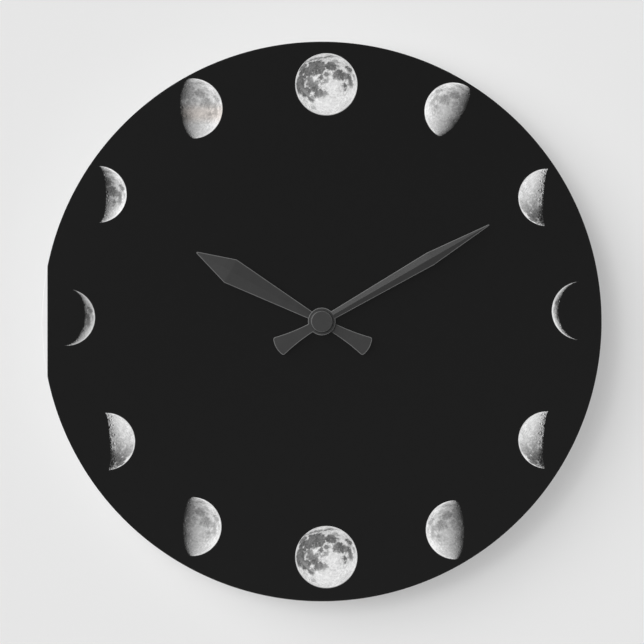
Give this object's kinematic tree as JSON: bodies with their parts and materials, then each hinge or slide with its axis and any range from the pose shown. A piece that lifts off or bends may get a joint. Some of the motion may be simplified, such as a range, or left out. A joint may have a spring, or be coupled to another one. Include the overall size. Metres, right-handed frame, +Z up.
{
  "type": "wall clock",
  "caption": "Round frameless acrylic wall clock with printed moon phases at the hours, two spade hands and a battery quartz movement on the back.",
  "frame": {"origin": "where the axis of the hands meets the wall, on the flat back of the movement", "axes": "+X right and +Z up as seen from the front, +Y into the wall"},
  "size_m": [0.273, 0.0343, 0.273],
  "materials": {
    "acrylic": "glossy white cast acrylic sheet",
    "print": "smooth black printed film with a low gloss",
    "moon": "smooth printed grey moon with a low gloss",
    "hand": "satin dark grey painted sheet",
    "case": "fine-textured black moulding",
    "gasket": "matt black rubber",
    "brass": "turned brass",
    "steel": "stamped steel",
    "nylon": "natural nylon",
    "plate": "dark grey moulding",
    "magnet": "dark sintered ferrite",
    "winding": "enamelled copper wire",
    "board": "brown paper laminate",
    "epoxy": "black epoxy drop",
    "nickel": "nickel plated sheet",
    "battery": "plain dark sleeve with bare metal ends",
    "knob": "black moulding"
  },
  "bodies": {
    "clock_body": {"acrylic_disc": "acrylic", "face_print": "print", "moon_01": "moon", "moon_02": "moon", "moon_03": "moon", "moon_04": "moon", "moon_05": "moon", "moon_06": "moon", "moon_07": "moon", "moon_08": "moon", "moon_09": "moon", "moon_10": "moon", "moon_11": "moon", "moon_12": "moon", "threaded_bush": "brass", "rubber_gasket": "gasket", "flat_washer": "brass", "hex_nut": "brass", "movement_case": "case", "rear_cover": "case", "middle_plate": "plate", "stator_plate": "steel", "coil_core": "steel", "coil_bobbin": "nylon", "coil_winding": "winding", "circuit_board": "board", "quartz_crystal": "nickel", "driver_chip": "epoxy", "positive_contact": "nickel", "negative_contact": "nickel", "aa_battery": "battery"},
    "minute_hand_body": {"minute_hand": "hand", "minute_shaft": "brass", "centre_wheel": "nylon", "cap_nut": "hand"},
    "hour_hand_body": {"hour_hand": "hand", "hour_wheel": "brass"},
    "minute_wheel_body": {"minute_wheel": "nylon"},
    "third_wheel_body": {"third_wheel": "nylon"},
    "fourth_wheel_body": {"fourth_wheel": "steel"},
    "fifth_wheel_body": {"fifth_wheel": "nylon"},
    "rotor_body": {"rotor_pinion": "nylon", "rotor_magnet": "magnet"},
    "setting_knob_body": {"setting_knob": "knob"}
  },
  "joints": [
    {"name": "minute_hand_turn", "type": "hinge", "parent": "clock_body", "child": "minute_hand_body", "pos_m": [0, 0, 0], "axis": [0, 1, 0], "continuous": true},
    {"name": "hour_hand_turn", "type": "hinge", "parent": "clock_body", "child": "hour_hand_body", "pos_m": [0, 0, 0], "axis": [0, 1, 0], "continuous": true},
    {"name": "minute_wheel_turn", "type": "hinge", "parent": "clock_body", "child": "minute_wheel_body", "pos_m": [-0.00634, 0, 0.00634], "axis": [0, 1, 0], "continuous": true},
    {"name": "setting_knob_turn", "type": "hinge", "parent": "clock_body", "child": "setting_knob_body", "pos_m": [-0.01458, 0, 0.0111], "axis": [0, 1, 0], "continuous": true},
    {"name": "third_wheel_turn", "type": "hinge", "parent": "clock_body", "child": "third_wheel_body", "pos_m": [0.01004, 0, -0.00088], "axis": [0, 1, 0], "continuous": true},
    {"name": "fourth_wheel_turn", "type": "hinge", "parent": "clock_body", "child": "fourth_wheel_body", "pos_m": [0, 0, 0], "axis": [0, 1, 0], "continuous": true},
    {"name": "fifth_wheel_turn", "type": "hinge", "parent": "clock_body", "child": "fifth_wheel_body", "pos_m": [-0.00256, 0, 0.00703], "axis": [0, 1, 0], "continuous": true},
    {"name": "rotor_turn", "type": "hinge", "parent": "clock_body", "child": "rotor_body", "pos_m": [0.00019, 0, 0.01179], "axis": [0, 1, 0], "continuous": true}
  ],
  "couplings": [
    {"joint": "hour_hand_turn", "follows": "minute_hand_turn", "ratio": 0.083333},
    {"joint": "minute_wheel_turn", "follows": "minute_hand_turn", "ratio": -0.33333},
    {"joint": "setting_knob_turn", "follows": "minute_hand_turn", "ratio": 0.8},
    {"joint": "third_wheel_turn", "follows": "minute_hand_turn", "ratio": -8},
    {"joint": "fourth_wheel_turn", "follows": "minute_hand_turn", "ratio": 60},
    {"joint": "fifth_wheel_turn", "follows": "minute_hand_turn", "ratio": -450},
    {"joint": "rotor_turn", "follows": "minute_hand_turn", "ratio": 1800}
  ]
}
